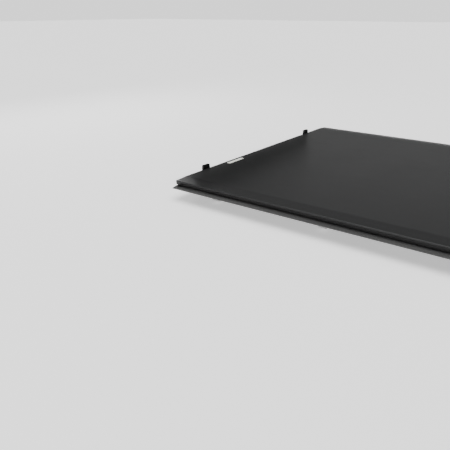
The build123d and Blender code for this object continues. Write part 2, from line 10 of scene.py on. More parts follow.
import bmesh
import bpy
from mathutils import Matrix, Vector


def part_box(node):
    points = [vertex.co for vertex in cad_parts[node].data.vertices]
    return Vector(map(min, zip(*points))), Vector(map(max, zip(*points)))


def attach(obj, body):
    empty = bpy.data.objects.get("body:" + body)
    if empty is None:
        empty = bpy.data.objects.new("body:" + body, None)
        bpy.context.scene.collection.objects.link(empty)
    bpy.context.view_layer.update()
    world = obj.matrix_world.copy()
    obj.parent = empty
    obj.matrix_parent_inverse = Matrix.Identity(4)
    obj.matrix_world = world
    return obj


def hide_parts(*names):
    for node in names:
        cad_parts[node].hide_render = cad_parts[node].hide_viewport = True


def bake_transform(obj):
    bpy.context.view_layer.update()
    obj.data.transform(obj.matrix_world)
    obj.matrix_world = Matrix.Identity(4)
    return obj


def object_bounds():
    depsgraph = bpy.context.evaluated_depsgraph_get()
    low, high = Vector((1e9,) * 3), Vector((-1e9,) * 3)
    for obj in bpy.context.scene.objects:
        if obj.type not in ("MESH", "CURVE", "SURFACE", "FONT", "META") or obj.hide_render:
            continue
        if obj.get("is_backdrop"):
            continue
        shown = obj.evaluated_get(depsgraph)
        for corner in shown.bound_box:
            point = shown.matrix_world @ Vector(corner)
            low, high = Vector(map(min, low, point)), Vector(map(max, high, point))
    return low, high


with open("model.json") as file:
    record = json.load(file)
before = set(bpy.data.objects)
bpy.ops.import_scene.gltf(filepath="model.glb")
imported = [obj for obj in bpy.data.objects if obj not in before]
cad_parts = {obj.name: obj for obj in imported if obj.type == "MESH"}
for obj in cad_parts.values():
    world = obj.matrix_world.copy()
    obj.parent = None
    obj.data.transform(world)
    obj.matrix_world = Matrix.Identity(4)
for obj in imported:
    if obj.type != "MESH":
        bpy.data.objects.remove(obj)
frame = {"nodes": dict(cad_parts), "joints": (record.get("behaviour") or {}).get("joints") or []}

bl_info = {
    "name": "Roll-up tonneau cover",
    "version": (1, 0, 0),
    "blender": (4, 5, 0),
    "location": "3D View > Sidebar > Cover",
    "description": "Builds the vinyl, straps, seals and finishes of a roll-up tonneau cover",
    "category": "Add Mesh",
}

STRIPS = 15
SUPPORTS = ("bow_1", "bow_2", "bow_3", "rear_bar")
SIDES = (("left", -1), ("right", 1))
SIDE_HEM = (1, 0, 0)  # shares of the three ways in which the vinyl's border ends
CUT_EDGE = (0, 1, 0)
TUCKED_EDGE = (0, 0, 1)
TAPE = 0.0016  # thickness of the hook tape
RAIL_DROP = 0.005  # fall of a side rail's top on its way out
GROOVE_REACH = 0.0034  # how far the front edge goes into the front rail's groove
BORDER_REACH = 0.035  # length over which a side hem changes into a corner
REAR_ROUND = 0.004  # radius of the vinyl's edge over the rear bar
FRONT_FOLD = 0.022  # vinyl used by the front and the rear border, beyond the sheet's faces
REAR_FOLD = 0.019
FAR = 0.012  # steps between the vinyl's rows, away from a bend and on it
NEAR = 0.002
END_STEP = 0.006
LIFT = 0.0001  # clearance between a piece and what it lies on
WEBBING_HALF = 0.019
WEBBING_THICK = 0.0014
FOAM_TOP = 0.0024
FOAM_ROUND = 0.0010
FRONT_FOAM = (0.764, 0.012)  # half length and half width of the foam under the front rail
SIDE_FOAM = (0.740, 0.798)  # inner and outer edge of the foam under a side rail


class CoverSettings(bpy.types.PropertyGroup):
    """Sizes of the soft pieces."""

    thickness: bpy.props.FloatProperty(
        name="Vinyl thickness",
        description="Thickness of the coated cloth",
        default=0.001,
        unit="LENGTH",
    )
    corner: bpy.props.FloatProperty(
        name="Corner radius",
        description="Radius of the cover's corners, seen from above",
        default=0.0115,
        unit="LENGTH",
    )
    side_round: bpy.props.FloatProperty(
        name="Side rounding",
        description="Radius of the vinyl's edge over the side rails",
        default=0.003,
        unit="LENGTH",
    )
    front_round: bpy.props.FloatProperty(
        name="Front rounding",
        description="Radius of the vinyl's edge over the front rail",
        default=0.0105,
        unit="LENGTH",
    )
    hem_turn: bpy.props.FloatProperty(
        name="Hem fold",
        description="Radius of the fold at the bottom of a side hem",
        default=0.0015,
        unit="LENGTH",
    )
    hem_inside: bpy.props.FloatProperty(
        name="Hem inside",
        description="How far the folded hem reaches up on its inside",
        default=0.0055,
        unit="LENGTH",
    )
    sag: bpy.props.FloatProperty(
        name="Sag",
        description="How far the vinyl hangs between two bows",
        default=0.0011,
        unit="LENGTH",
    )
    wander: bpy.props.FloatProperty(
        name="Wander",
        description="How far the line where the vinyl meets a side rail strays sideways",
        default=0.0014,
        unit="LENGTH",
    )
    bend: bpy.props.FloatProperty(
        name="Bend",
        description="Length of vinyl that takes up the turn at a hinge line, mostly on the turning side",
        default=0.014,
        unit="LENGTH",
    )
    vinyl_dark: bpy.props.FloatVectorProperty(
        name="Vinyl, darker",
        description="Darker of the two tones between which the vinyl varies",
        default=(0.00741, 0.0078, 0.00819, 1.0),
        size=4,
        min=0.0,
        max=1.0,
        subtype="COLOR",
    )
    vinyl_light: bpy.props.FloatVectorProperty(
        name="Vinyl, lighter",
        description="Lighter of the two tones between which the vinyl varies",
        default=(0.01029, 0.0105, 0.01071, 1.0),
        size=4,
        min=0.0,
        max=1.0,
        subtype="COLOR",
    )
    rail_dark: bpy.props.FloatVectorProperty(
        name="Rails, darker",
        description="Darker of the two tones of the rails' powder coat",
        default=(0.052, 0.052, 0.052, 1.0),
        size=4,
        min=0.0,
        max=1.0,
        subtype="COLOR",
    )
    rail_light: bpy.props.FloatVectorProperty(
        name="Rails, lighter",
        description="Lighter of the two tones of the rails' powder coat",
        default=(0.06868, 0.068, 0.06732, 1.0),
        size=4,
        min=0.0,
        max=1.0,
        subtype="COLOR",
    )
    label_clean: bpy.props.FloatVectorProperty(
        name="Label",
        description="Colour of the blank label",
        default=(0.90, 0.91, 0.84, 1.0),
        size=4,
        min=0.0,
        max=1.0,
        subtype="COLOR",
    )
    label_aged: bpy.props.FloatVectorProperty(
        name="Label, aged",
        description="Colour of the label where it has yellowed",
        default=(0.80, 0.81, 0.66, 1.0),
        size=4,
        min=0.0,
        max=1.0,
        subtype="COLOR",
    )


# ---- measures taken from the frame ----
def hinge_lines():
    """Y of the hinge lines, from the cab to the tailgate."""
    rolls = [joint for joint in frame["joints"] if joint["name"].startswith("roll_")]
    return sorted((joint["pos_m"][1] for joint in rolls), reverse=True)


def sheet_limits():
    """Outer half width, upper face, front face and rear face of the vinyl."""
    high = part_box("front_cover_panel")[1]
    return high[0], high[2], high[1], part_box("rear_cover_strip")[0][1]


def slope_start():
    """Half width of the sheet's flat part, and its fall per metre beyond."""
    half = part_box("front_rail")[1][0]
    rail_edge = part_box("hook_tapes")[1][0] - TAPE
    return half, RAIL_DROP / (rail_edge - half)


def spans():
    """Y of the lines that hold the sheet up, from the front rail to the rear bar."""
    lines = [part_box("front_rail")[0][1]]
    for name in SUPPORTS:
        low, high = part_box(name)
        lines.append((low[1] + high[1]) / 2)
    return lines


def eased(value):
    """Smooth step from 0 to 1."""
    value = min(1.0, max(0.0, value))
    return value * value * (3 - 2 * value)


class Sheet:
    """Shape of the stretched vinyl: its height at a place, and how its border turns down."""

    def __init__(self, settings):
        self.settings = settings
        self.edge, self.top, self.front, self.rear = sheet_limits()
        self.flat, self.slope = slope_start()
        self.lines = spans()
        self.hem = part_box("cover_strip_01")[0][2]
        self.bar_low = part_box("rear_bar")[0][2]
        self.tuck_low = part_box("front_cover_panel")[0][2]

    def fall(self, x, y):
        """How far the sheet has come down over the side rail."""
        wander = self.settings.wander
        waves = math.sin(17 * y) + 0.8 * math.sin(41 * y + 1) + 0.3 * math.sin(97 * y)
        start = self.flat + wander * waves
        soft = 0.006
        beyond = abs(x) - start
        if beyond <= -soft:
            return 0.0
        if beyond < soft:
            return self.slope * (beyond + soft) ** 2 / (4 * soft)
        return self.slope * beyond

    def hang(self, x, y):
        """How far the sheet hangs between two supports."""
        share = max(0.0, 1 - (abs(x) / self.flat) ** 4)
        for front, rear in zip(self.lines, self.lines[1:]):
            if rear < y < front:
                return self.settings.sag * share * math.sin(math.pi * (front - y) / (front - rear)) ** 2
        return 0.0

    def height(self, x, y):
        """Height of the vinyl's upper face."""
        return self.top - self.fall(x, y) - self.hang(x, y)

    def columns(self):
        """X of the sheet's lengthwise lines, closer together where it slopes."""
        inner = self.edge - self.settings.corner
        wide = self.flat - 0.02
        half = [wide * i / 16 for i in range(17)]
        half += [self.flat - 0.012, self.flat - 0.006, self.flat, self.flat + 0.006, self.flat + 0.012]
        half += [self.flat + 0.024, self.flat + 0.04, inner]
        return [-x for x in reversed(half[1:])] + half

    def border(self, edge, inward, radius, low, ends):
        """Points down the border from its inner line to its end, each with its place on the cut sheet."""
        turn = self.settings.hem_turn
        corner = self.settings.corner

        def place(u):
            return edge[0] + inward[0] * u, edge[1] + inward[1] * u

        flat = [corner + (radius - corner) * step / 3 for step in range(4)]
        points = [(*place(u), self.height(*place(u))) for u in flat]
        crown = points[-1][2]
        for step in range(1, 8):
            angle = math.radians(90 * step / 7)
            points.append((*place(radius * (1 - math.sin(angle))), crown - radius * (1 - math.cos(angle))))
        upper = crown - radius
        for step in range(1, 4):
            points.append((*place(0), upper + (low + turn - upper) * step / 3))
        for step in range(1, 9):
            ways = (self.folded(step, low), (0.0, low + turn * (1 - step / 8)), self.tucked(step, low))
            u = sum(share * way[0] for share, way in zip(ends, ways))
            z = sum(share * way[1] for share, way in zip(ends, ways))
            points.append((*place(u), z))
        used = 0.0
        result = []
        for index, point in enumerate(points):
            if index:
                used += (Vector(point) - Vector(points[index - 1])).length
            inner = place(corner)
            result.append((point, (inner[0] - inward[0] * used, inner[1] - inward[1] * used, 0.0)))
        return result

    def folded(self, step, low):
        """The side hem's end: half a turn inwards, then up."""
        turn = self.settings.hem_turn
        if step <= 6:
            angle = math.pi * step / 6
            return turn * (1 - math.cos(angle)), low + turn * (1 - math.sin(angle))
        return 2 * turn, low + turn + self.settings.hem_inside * (step - 6) / 2

    def tucked(self, step, low):
        """The front edge's end: a quarter turn, then into the rail's groove."""
        turn = self.settings.hem_turn
        if step <= 4:
            angle = math.pi / 2 * step / 4
            return turn * (1 - math.cos(angle)), low + turn * (1 - math.sin(angle))
        return turn + GROOVE_REACH * (step - 4) / 4, low


def new_object(name, mesh_maker):
    """A mesh object filled by mesh_maker, with its upper face up."""
    mesh = bpy.data.meshes.new(name)
    made = bmesh.new()
    mesh_maker(made)
    bmesh.ops.remove_doubles(made, verts=made.verts, dist=1e-6)
    bmesh.ops.recalc_face_normals(made, faces=made.faces)
    made.faces.ensure_lookup_table()
    largest = max(made.faces, key=lambda face: face.calc_area())
    if largest.normal.dot(Vector((0, 0.6, 1))) < 0:
        bmesh.ops.reverse_faces(made, faces=made.faces)
    made.to_mesh(mesh)
    made.free()
    piece = bpy.data.objects.new(name, mesh)
    bpy.context.scene.collection.objects.link(piece)
    return piece


def stitch_rows(made, rows):
    """Faces between rows of (place, place on the cut sheet)."""
    layer = made.verts.layers.float_vector.get("cut") or made.verts.layers.float_vector.new("cut")
    lines = []
    for row in rows:
        line = []
        for place, cut in row:
            vertex = made.verts.new(place)
            vertex[layer] = cut
            line.append(vertex)
        lines.append(line)
    for low, high in zip(lines, lines[1:]):
        for index in range(len(low) - 1):
            corners = [low[index], low[index + 1], high[index + 1], high[index]]
            made.faces.new(corners)


def only(piece):
    """Selects one object and makes it active."""
    bpy.ops.object.select_all(action="DESELECT")
    piece.select_set(True)
    bpy.context.view_layer.objects.active = piece


def apply(piece, kind, **values):
    """Adds a modifier, sets its values and applies it."""
    only(piece)
    modifier = piece.modifiers.new(kind.title(), kind)
    for key, value in values.items():
        setattr(modifier, key, value)
    bpy.ops.object.modifier_apply(modifier=modifier.name)


def smooth(piece, degrees=35):
    """Shades a piece smooth, up to an angle."""
    only(piece)
    bpy.ops.object.shade_smooth_by_angle(angle=math.radians(degrees))


def thicken(piece, thickness, outside, inside):
    """Gives a sheet its thickness towards its lower face, with a second material there."""
    piece.data.materials.append(outside)
    piece.data.materials.append(inside)
    apply(piece, "SOLIDIFY", thickness=thickness, offset=-1, use_even_offset=True, material_offset=1)
    smooth(piece)


def top_row(sheet, y):
    """Points across the sheet's upper face, with their places on the cut sheet."""
    return [((x, y, sheet.height(x, y)), (x, y, 0.0)) for x in sheet.columns()]


def strip_rows(sheet, ys):
    """Rows across the whole sheet, hem to hem."""
    settings = sheet.settings
    rows = []
    for y in ys:
        left, right = (
            sheet.border((side * sheet.edge, y), (-side, 0), settings.side_round, sheet.hem, SIDE_HEM)
            for side in (-1, 1)
        )
        rows.append(left[::-1] + top_row(sheet, y)[1:-1] + right)
    return rows


def end_rows(sheet, ys, face, toward, radius, low, tuck):
    """The border round one end of the sheet: up one side, across the end and down the other side."""
    settings = sheet.settings
    corner = settings.corner
    centre_x = sheet.edge - corner
    centre_y = face - toward * corner
    rows = []

    def side_point(side, y):
        """Down a side hem, which changes into the end's border near the corner."""
        near = eased(1 - abs(y - centre_y) / BORDER_REACH)
        ends = tuple(a + (b - a) * near for a, b in zip(SIDE_HEM, CUT_EDGE))
        height = sheet.hem + (low - sheet.hem) * near
        return sheet.border((side * sheet.edge, y), (-side, 0), settings.side_round, height, ends)

    def corner_point(side, share):
        """Down the border at a place round the corner."""
        angle = math.pi / 2 * share
        out = (side * math.cos(angle), toward * math.sin(angle))
        edge = (side * centre_x + corner * out[0], centre_y + corner * out[1])
        rounding = settings.side_round + (radius - settings.side_round) * eased(share)
        return sheet.border(edge, (-out[0], -out[1]), rounding, low, CUT_EDGE)

    rows += [side_point(-1, y) for y in ys]
    rows += [corner_point(-1, step / 10) for step in range(1, 10)]
    for x in sheet.columns():
        inside = eased((sheet.flat - abs(x)) / 0.012) if tuck else 0.0
        ends = tuple(a + (b - a) * inside for a, b in zip(CUT_EDGE, TUCKED_EDGE))
        rows.append(sheet.border((x, face), (0, -toward), radius, low, ends))
    rows += [corner_point(1, 1 - step / 10) for step in range(1, 10)]
    rows += [side_point(1, y) for y in reversed(ys)]
    return rows


def end_panel(sheet, name, ys, face, toward, radius, low, tuck):
    """The piece of the sheet at the cab or at the tailgate."""

    def fill(made):
        stitch_rows(made, [top_row(sheet, y) for y in ys])
        stitch_rows(made, end_rows(sheet, ys, face, toward, radius, low, tuck))

    return new_object(name, fill)


def spread(low, high, step):
    """Even places from low to high, at most step apart."""
    count = max(1, math.ceil(abs(high - low) / step))
    return [low + (high - low) * i / count for i in range(count + 1)]


class COVER_OT_vinyl(bpy.types.Operator):
    """Builds the vinyl sheet: its end panels and one piece over each hinge"""

    bl_idname = "cover.vinyl"
    bl_label = "Vinyl sheet"

    def execute(self, context):
        settings = context.scene.cover_settings
        sheet = Sheet(settings)
        hinges = hinge_lines()
        middles = [(hinges[0] + sheet.front) / 2 - 0.02]
        middles += [(a + b) / 2 for a, b in zip(hinges, hinges[1:])]
        middles.append((hinges[-1] + sheet.rear) / 2 + 0.006)
        vinyl = vinyl_material()
        backing = backing_material()
        width = 2 * sum(self.girth(sheet))
        front_ys = spread(middles[0], sheet.front - settings.corner, END_STEP)
        rounding = settings.front_round
        front = end_panel(sheet, "vinyl_front", front_ys, sheet.front, 1, rounding, sheet.tuck_low, True)
        self.finish_sheet(front, settings, vinyl, backing, (width, sheet.front - middles[0] + FRONT_FOLD))
        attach(front, "frame")
        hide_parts("front_cover_panel")
        for index in range(1, STRIPS + 1):
            hinge = hinges[index - 1]
            before, after = middles[index - 1], middles[index]
            start, end = hinge + 0.2 * settings.bend, hinge - 0.8 * settings.bend
            ys = spread(before, start, FAR)[:-1] + spread(start, end, NEAR) + spread(end, after, FAR)[1:]
            rows = strip_rows(sheet, ys)
            piece = new_object(f"vinyl_{index:02d}", lambda made: stitch_rows(made, rows))
            self.finish_sheet(piece, settings, vinyl, backing, (width, before - after))
            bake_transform(piece)
            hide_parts(f"cover_strip_{index:02d}" if index < STRIPS else "rear_cover_strip")
        rear_ys = spread(middles[-1], sheet.rear + settings.corner, END_STEP)
        rear = end_panel(sheet, "vinyl_rear", rear_ys, sheet.rear, -1, REAR_ROUND, sheet.bar_low, False)
        self.finish_sheet(rear, settings, vinyl, backing, (width, middles[-1] - sheet.rear + REAR_FOLD))
        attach(rear, f"cover_section_{STRIPS:02d}")
        return {"FINISHED"}

    def girth(self, sheet):
        """Half the sheet's cut width: the flat part and the border."""
        settings = sheet.settings
        points = sheet.border((sheet.edge, -0.5), (-1, 0), settings.side_round, sheet.hem, SIDE_HEM)
        return sheet.edge - settings.corner, points[-1][1][0] - points[0][1][0]

    def finish_sheet(self, piece, settings, vinyl, backing, flat):
        thicken(piece, settings.thickness, vinyl, backing)


# ---- small pieces ----
def bar(name, low, high, rounding, segments=4):
    """A bar with rounded edges between two corners, drawn from a cube in edit mode."""
    centre = [(a + b) / 2 for a, b in zip(low, high)]
    size = [b - a for a, b in zip(low, high)]
    bpy.ops.object.select_all(action="DESELECT")
    bpy.ops.mesh.primitive_cube_add(size=1, location=centre)
    piece = bpy.context.active_object
    piece.name = name
    bpy.ops.object.mode_set(mode="EDIT")
    bpy.ops.mesh.select_all(action="SELECT")
    bpy.ops.transform.resize(value=size)
    bpy.ops.mesh.bevel(offset=rounding, segments=segments, affect="EDGES")
    bpy.ops.object.mode_set(mode="OBJECT")
    only(piece)
    bpy.ops.object.transform_apply(location=True, rotation=True, scale=True)
    smooth(piece)
    return piece


def joined(name, pieces):
    """Several objects as one."""
    bpy.ops.object.select_all(action="DESELECT")
    for piece in pieces:
        piece.select_set(True)
    bpy.context.view_layer.objects.active = pieces[0]
    bpy.ops.object.join()
    pieces[0].name = name
    return pieces[0]


def dress(piece, material):
    """Gives a piece one material."""
    piece.data.materials.clear()
    piece.data.materials.append(material)


class COVER_OT_label(bpy.types.Operator):
    """Builds the blank printed label behind the front rail"""

    bl_idname = "cover.label"
    bl_label = "Blank label"

    def execute(self, context):
        low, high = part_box("blank_label")
        middle = [(a + b) / 2 for a, b in zip(low, high)]
        bpy.ops.object.select_all(action="DESELECT")
        bpy.ops.mesh.primitive_plane_add(size=1)
        label = bpy.context.active_object
        label.name = "label"
        bpy.ops.object.mode_set(mode="EDIT")
        bpy.ops.mesh.select_all(action="SELECT")
        bpy.ops.transform.resize(value=(high[0] - low[0], high[1] - low[1], 1))
        bpy.ops.mesh.bevel(offset=0.003, segments=6, affect="VERTICES")
        bpy.ops.transform.translate(value=(middle[0], middle[1], high[2]))
        bpy.ops.object.mode_set(mode="OBJECT")
        apply(label, "SOLIDIFY", thickness=high[2] - low[2] + LIFT, offset=-1)
        apply(label, "BEVEL", width=LIFT, segments=2, limit_method="ANGLE", angle_limit=math.radians(60))
        smooth(label)
        dress(label, label_material())
        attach(label, "frame")
        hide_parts("blank_label")
        return {"FINISHED"}


def strap(name, x, width, thickness, line, material):
    """Webbing of one width along a line of (y, z) places, with its cut coordinates for the weave."""
    across = [width * (i / 12 - 0.5) for i in range(13)]
    rows = []
    used = 0.0
    for index, (y, z) in enumerate(line):
        if index:
            used += math.dist((y, z), line[index - 1])
        rows.append([((x + u, y, z), (u, used, 0.0)) for u in across])
    piece = new_object(name, lambda made: stitch_rows(made, rows))
    piece.data.materials.append(material)
    apply(piece, "SOLIDIFY", thickness=thickness, offset=0, use_even_offset=True)
    apply(piece, "BEVEL", width=0.0004, segments=2, limit_method="ANGLE", angle_limit=math.radians(50))
    smooth(piece)
    return piece, used


def rounded_line(points, radius, steps=6):
    """A line of (y, z) corners with each inner corner rounded."""
    line = [points[0]]
    for before, here, after in zip(points, points[1:], points[2:]):
        a, b, c = Vector(before), Vector(here), Vector(after)
        into = (b - a).normalized()
        out = (c - b).normalized()
        reach = min(radius, (b - a).length * 0.45, (c - b).length * 0.45)
        start, end = b - into * reach, b + out * reach
        for step in range(steps + 1):
            t = step / steps
            line.append(tuple(start * (1 - t) ** 2 + b * 2 * t * (1 - t) + end * t * t))
    line.append(points[-1])
    return line


class COVER_OT_straps(bpy.types.Operator):
    """Builds the storage straps' webbing"""

    bl_idname = "cover.straps"
    bl_label = "Storage straps"

    def execute(self, context):
        weave = webbing_material()
        for name, side in SIDES:
            self.lower(name, side, weave)
            self.tail(name, weave)
        return {"FINISHED"}

    def lower(self, name, side, weave):
        """From the anchor plate up into the buckle's socket."""
        low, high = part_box("strap_lower_webbings")
        x = side * (high[0] - WEBBING_HALF)
        y = (low[1] + high[1]) / 2
        shares = [i / 12 for i in range(13)]
        line = [(y + 0.0002 * math.sin(math.pi * t), low[2] + (high[2] - low[2]) * t) for t in shares]
        piece, used = strap(f"{name}_lower_webbing", x, 2 * WEBBING_HALF, WEBBING_THICK, line, weave)
        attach(piece, "frame")
        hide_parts("strap_lower_webbings")

    def tail(self, name, weave):
        """Out of the plug's base, over its top and down in front of the buckle."""
        low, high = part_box(f"{name}_strap_tail")
        x = (low[0] + high[0]) / 2
        half = (high[0] - low[0]) / 2
        top = high[2] - WEBBING_THICK / 2
        face = high[1] - WEBBING_THICK / 2
        corners = [(low[1] + 0.0005, top), (face, top), (face, top - 0.03)]
        line = rounded_line(corners, 0.004)
        depth = line[-1][1] - low[2] - 0.001
        for step in range(1, 21):
            t = step / 20
            line.append((face + 0.0022 * math.sin(2.2 * math.pi * t) * t, corners[-1][1] - depth * t))
        piece, used = strap(f"{name}_strap_webbing", x, 2 * half, WEBBING_THICK, line, weave)
        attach(piece, f"{name}_plug")
        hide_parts(f"{name}_strap_tail")


class COVER_OT_seals(bpy.types.Operator):
    """Builds the foam strips, the hook tapes and the tailgate seal"""

    bl_idname = "cover.seals"
    bl_label = "Seals and tapes"

    def execute(self, context):
        self.foam()
        self.tapes()
        self.bulb()
        return {"FINISHED"}

    def foam(self):
        """Foam strips under the three rails."""
        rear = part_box("rail_seals")[0][1]
        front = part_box("right_side_rail")[1][1]
        half, width = FRONT_FOAM
        strips = [bar("foam_front", (-half, -width, LIFT), (half, width, FOAM_TOP), FOAM_ROUND)]
        for side in (-1, 1):
            xs = sorted(side * x for x in SIDE_FOAM)
            strips.append(bar("foam_side", (xs[0], rear, LIFT), (xs[1], front, FOAM_TOP), FOAM_ROUND))
        strips = joined("foam_strips", strips)
        dress(strips, foam_material())
        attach(strips, "frame")
        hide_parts("rail_seals")

    def tapes(self):
        """Hook tapes on the outsides of the side rails."""
        low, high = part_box("hook_tapes")
        tapes = []
        for side in (-1, 1):
            xs = sorted((side * (high[0] - 0.0015), side * (high[0] - LIFT)))
            tapes.append(bar("tape", (xs[0], low[1], low[2]), (xs[1], high[1], high[2]), 0.0005, 3))
        hooks = joined("hook_tape_strips", tapes)
        dress(hooks, hook_material())
        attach(hooks, "frame")
        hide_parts("hook_tapes")

    def bulb(self):
        """Rubber bulb under the rear bar."""
        low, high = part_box("tailgate_seal")
        bulb = bar("tailgate_bulb", tuple(low), (high[0], high[1], high[2] - LIFT), 0.0028, 6)
        dress(bulb, rubber_material())
        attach(bulb, f"cover_section_{STRIPS:02d}")
        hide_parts("tailgate_seal")


# ---- materials ----
def add(tree, kind, inputs=None, **values):
    """A shader node with its values and inputs set. An input is a value or another node's output."""
    made = tree.nodes.new(kind)
    for key, value in values.items():
        setattr(made, key, value)
    for key, value in (inputs or {}).items():
        if isinstance(value, bpy.types.NodeSocket):
            tree.links.new(value, made.inputs[key])
        else:
            made.inputs[key].default_value = value
    return made


def blank(name):
    """A new material: itself, its node tree and its shader."""
    material = bpy.data.materials.get(name)
    if material:
        return material, None, None
    material = bpy.data.materials.new(name)
    material.use_nodes = True
    tree = material.node_tree
    return material, tree, tree.nodes["Principled BSDF"]


def place_of(tree, cut=False):
    """Coordinates on the object, or on the cut sheet."""
    if cut:
        return add(tree, "ShaderNodeAttribute", attribute_name="cut").outputs["Vector"]
    return add(tree, "ShaderNodeTexCoord").outputs["Object"]


def noise(tree, place, scale, detail=4.0, roughness=0.5):
    """Soft random pattern."""
    inputs = {"Vector": place, "Scale": scale, "Detail": detail, "Roughness": roughness}
    return add(tree, "ShaderNodeTexNoise", inputs).outputs["Fac"]


def maths(tree, operation, first, second=0.0):
    """One sum on two values."""
    return add(tree, "ShaderNodeMath", {0: first, 1: second}, operation=operation).outputs[0]


def ranged(tree, value, low, high, to_low, to_high):
    """Value carried from one range to another."""
    inputs = {"Value": value, "From Min": low, "From Max": high, "To Min": to_low, "To Max": to_high}
    return add(tree, "ShaderNodeMapRange", inputs).outputs["Result"]


def mixed(tree, factor, first, second):
    """Colour between two others."""
    made = add(tree, "ShaderNodeMix", data_type="RGBA")
    for key, value in ((0, factor), (6, first), (7, second)):
        if isinstance(value, bpy.types.NodeSocket):
            tree.links.new(value, made.inputs[key])
        else:
            made.inputs[key].default_value = value
    return made.outputs[2]


def scaled(tree, place, x, y, z):
    """Coordinates stretched along the axes."""
    return add(tree, "ShaderNodeMapping", {"Vector": place, "Scale": (x, y, z)}).outputs["Vector"]


def cells(tree, place, scale, feature="F1"):
    """Random cells."""
    inputs = {"Vector": place, "Scale": scale}
    return add(tree, "ShaderNodeTexVoronoi", inputs, feature=feature).outputs["Distance"]


def bumped(tree, height, distance, strength=1.0, under=None):
    """Normal from a height."""
    inputs = {"Height": height, "Distance": distance, "Strength": strength}
    if under is not None:
        inputs["Normal"] = under
    return add(tree, "ShaderNodeBump", inputs).outputs["Normal"]


def softened(tree, radius):
    """Normal that rounds a moulded or machined edge."""
    return add(tree, "ShaderNodeBevel", {"Radius": radius}, samples=4).outputs["Normal"]


def grey(value, warm=0.0):
    """Grey, a little warmer or cooler."""
    return (value * (1 + warm), value, value * (1 - warm), 1.0)


def colour_of(name):
    """One of the cover's set colours."""
    return tuple(getattr(bpy.context.scene.cover_settings, name))


def join_shader(tree, shader, colour=None, roughness=None, normal=None, **constants):
    """Joins patterns to the shader and sets its other values."""
    for key, value in (("Base Color", colour), ("Roughness", roughness), ("Normal", normal)):
        if isinstance(value, bpy.types.NodeSocket):
            tree.links.new(value, shader.inputs[key])
        elif value is not None:
            shader.inputs[key].default_value = value
    for key, value in constants.items():
        shader.inputs[key.replace("_", " ")].default_value = value


def stitches(tree, place, at, pitch=0.0045):
    """Mask of two lines of stitches along Y, mirrored about the middle of the sheet."""
    parts = add(tree, "ShaderNodeSeparateXYZ", {"Vector": place})
    across = maths(tree, "ABSOLUTE", parts.outputs["X"])
    lines = None
    for line in at:
        away = maths(tree, "ABSOLUTE", maths(tree, "SUBTRACT", across, line))
        near = ranged(tree, away, 0.0003, 0.0007, 1.0, 0.0)
        lines = near if lines is None else maths(tree, "MAXIMUM", lines, near)
    wave = maths(tree, "FRACT", maths(tree, "DIVIDE", parts.outputs["Y"], pitch))
    off_middle = maths(tree, "ABSOLUTE", maths(tree, "SUBTRACT", wave, 0.5))
    dash = ranged(tree, off_middle, 0.30, 0.40, 1.0, 0.0)
    return maths(tree, "MULTIPLY", lines, dash), lines


def vinyl_material():
    """Coated cloth with a fine grain, a little dust and sewn hems."""
    material, tree, shader = blank("grained_vinyl")
    if tree:
        place = place_of(tree, cut=True)
        grain = cells(tree, place, 620.0, "DISTANCE_TO_EDGE")
        pebble = ranged(tree, grain, 0.0, 0.35, 0.0, 1.0)
        fine = noise(tree, place, 2400.0, 2.0)
        slow = noise(tree, place, 2.2, 3.0, 0.55)
        patch = noise(tree, scaled(tree, place, 1.0, 0.35, 1.0), 9.0, 4.0, 0.6)
        sewn, seam = stitches(tree, place, (0.7365, 0.7425))
        colour = mixed(tree, slow, colour_of("vinyl_dark"), colour_of("vinyl_light"))
        colour = mixed(tree, ranged(tree, grain, 0.0, 0.12, 0.35, 0.0), colour, grey(0.005))
        dust = ranged(tree, patch, 0.55, 0.85, 0.0, 0.12)
        colour = mixed(tree, dust, colour, grey(0.03, 0.04))
        colour = mixed(tree, sewn, colour, grey(0.014))
        rough = ranged(tree, slow, 0.3, 0.7, 0.29, 0.33)
        rough = maths(tree, "ADD", rough, maths(tree, "MULTIPLY", dust, 0.35))
        coarse = maths(tree, "MULTIPLY", pebble, 0.7)
        height = maths(tree, "ADD", coarse, maths(tree, "MULTIPLY", fine, 0.3))
        normal = bumped(tree, height, 0.00006, 0.6)
        thread = maths(tree, "SUBTRACT", sewn, maths(tree, "MULTIPLY", seam, 0.6))
        normal = bumped(tree, thread, 0.0002, 0.5, normal)
        join_shader(tree, shader, colour, rough, normal, Specular_IOR_Level=0.42)
    return material


def weave_height(tree, place, pitch):
    """Height of a plain weave."""
    parts = add(tree, "ShaderNodeSeparateXYZ", {"Vector": place})
    across = maths(tree, "SINE", maths(tree, "MULTIPLY", parts.outputs["X"], math.pi / pitch))
    along = maths(tree, "SINE", maths(tree, "MULTIPLY", parts.outputs["Y"], math.pi / pitch))
    return maths(tree, "MULTIPLY", across, along)


def backing_material():
    """Woven lower face of the vinyl."""
    material, tree, shader = blank("woven_backing")
    if tree:
        place = place_of(tree, cut=True)
        weave = weave_height(tree, place, 0.0011)
        tone = mixed(tree, noise(tree, place, 14.0), grey(0.028), grey(0.05, 0.03))
        tone = mixed(tree, ranged(tree, weave, -1.0, 1.0, 0.5, 0.0), tone, grey(0.012))
        join_shader(tree, shader, tone, 0.85, bumped(tree, weave, 0.00015, 0.7), Sheen_Weight=0.3)
    return material


def webbing_material():
    """Storage straps' webbing."""
    material, tree, shader = blank("ribbed_webbing")
    if tree:
        place = place_of(tree, cut=True)
        weave = weave_height(tree, place, 0.0016)
        fuzz = noise(tree, place, 1800.0, 3.0)
        tone = mixed(tree, noise(tree, place, 90.0), grey(0.008), grey(0.016))
        tone = mixed(tree, ranged(tree, weave, -1.0, 1.0, 0.6, 0.0), tone, grey(0.004))
        normal = bumped(tree, maths(tree, "ADD", weave, fuzz), 0.0003, 0.8)
        join_shader(tree, shader, tone, 0.78, normal, Sheen_Weight=0.35)
    return material


